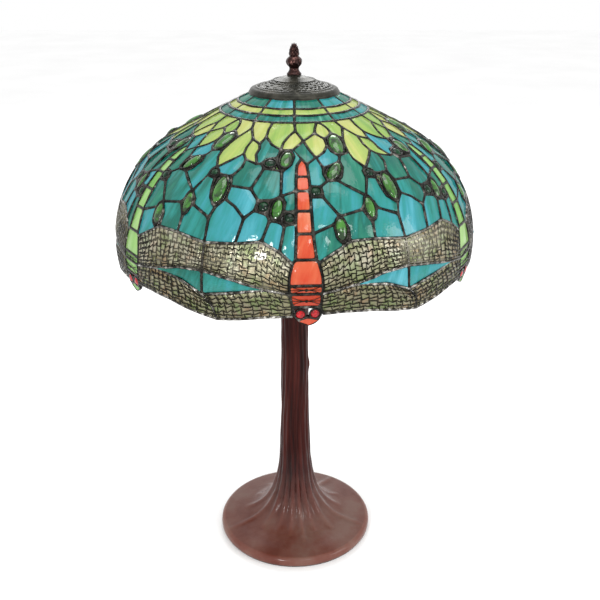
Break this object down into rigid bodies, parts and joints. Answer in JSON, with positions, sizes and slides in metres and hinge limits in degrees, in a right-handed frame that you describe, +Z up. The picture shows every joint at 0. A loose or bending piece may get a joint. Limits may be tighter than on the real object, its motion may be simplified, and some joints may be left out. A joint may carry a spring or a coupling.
{
  "type": "stained glass table lamp",
  "caption": "Table lamp with a leaded, domed shade of coloured glass with dragonflies round its rim, on a slender tree-trunk base with a round foot.",
  "frame": {"origin": "middle of the underside of the base, where it stands on the table", "axes": "+Z up the stem, -Y towards the front, +X to the right seen from the front"},
  "size_m": [0.4, 0.4, 0.6077],
  "materials": {
    "patinated_casting": "satin red-brown patina over cast zinc",
    "felt": "pressed wool felt",
    "cast_iron": "rough as-cast",
    "zinc_plated_steel": "bright zinc plate",
    "rubber": "moulded black rubber",
    "dark_brass": "dark bronze patina on brass",
    "black_plastic": "moulded black thermoset",
    "ceramic": "glazed white ceramic, weighed as plastic",
    "lamp_cap": "drawn bright aluminium",
    "frosted_glass": "etched lamp glass",
    "solder": "black patina over tin-lead solder on copper foil",
    "filigree_brass": "photo-etched brass sheet, black patina",
    "teal_glass": "streaky opalescent sheet glass",
    "leaf_glass": "yellow-green opalescent sheet glass",
    "wing_glass": "grey-amber rippled sheet glass",
    "orange_glass": "coral opalescent sheet glass",
    "pale_green_glass": "pale green opalescent sheet glass",
    "green_jewel": "cast clear green glass",
    "red_jewel": "cast clear red glass"
  },
  "bodies": {
    "stand": {"foot_casting": "patinated_casting", "trunk_casting": "patinated_casting", "felt_pad": "felt", "ballast_weight": "cast_iron", "base_washer": "zinc_plated_steel", "base_nut": "zinc_plated_steel", "stem_pipe": "zinc_plated_steel", "cord_grommet": "rubber", "trunk_collar": "dark_brass", "collar_nut": "dark_brass", "cluster_body": "dark_brass", "riser_rod": "zinc_plated_steel", "riser_sleeve": "dark_brass", "shade_spider": "dark_brass", "socket_nipple_left": "zinc_plated_steel", "lampholder_cup_left": "black_plastic", "lampholder_sleeve_left": "black_plastic", "contact_block_left": "ceramic", "socket_nipple_right": "zinc_plated_steel", "lampholder_cup_right": "black_plastic", "lampholder_sleeve_right": "black_plastic", "contact_block_right": "ceramic"},
    "shade": {"ring_glass_upper": "teal_glass", "ring_glass_middle": "leaf_glass", "ring_glass_lower": "teal_glass", "leaf_glass": "leaf_glass", "background_glass": "teal_glass", "gap_glass": "teal_glass", "wing_glass_upper": "wing_glass", "wing_glass_lower": "wing_glass", "dragonfly_glass_orange": "orange_glass", "dragonfly_glass_green": "pale_green_glass", "wing_filigree": "filigree_brass", "leg_filigree": "filigree_brass", "large_oval_jewels": "green_jewel", "small_oval_jewels": "green_jewel", "round_jewels": "green_jewel", "eye_jewels": "red_jewel", "lead_cames": "solder", "crown_ring": "dark_brass", "vent_cap": "dark_brass"},
    "cap_washer": {"cap_washer": "dark_brass"},
    "finial": {"finial": "dark_brass"},
    "bulb_left": {"bulb_cap_left": "lamp_cap", "bulb_glass_left": "frosted_glass"},
    "bulb_right": {"bulb_cap_right": "lamp_cap", "bulb_glass_right": "frosted_glass"}
  },
  "joints": [
    {"name": "shade_turn", "type": "hinge", "parent": "stand", "child": "shade", "pos_m": [0, 0, 0.55746], "axis": [0, 0, 1], "continuous": true},
    {"name": "finial_lift", "type": "slide", "parent": "stand", "child": "cap_washer", "axis": [0, 0, 1], "range_m": [0, 0.01]},
    {"name": "finial_turn", "type": "hinge", "parent": "cap_washer", "child": "finial", "pos_m": [0, 0, 0.55746], "axis": [0, 0, 1], "range_deg": [0, 3600]},
    {"name": "bulb_left_turn", "type": "hinge", "parent": "stand", "child": "bulb_left", "pos_m": [0, 0, 0.416], "axis": [-0.9659, 0, 0.2588], "range_deg": [0, 900]},
    {"name": "bulb_right_turn", "type": "hinge", "parent": "stand", "child": "bulb_right", "pos_m": [0, 0, 0.416], "axis": [0.9659, 0, 0.2588], "range_deg": [0, 900]}
  ],
  "couplings": [
    {"joint": "finial_turn", "follows": "finial_lift", "rad_per_m": 6283.1}
  ]
}
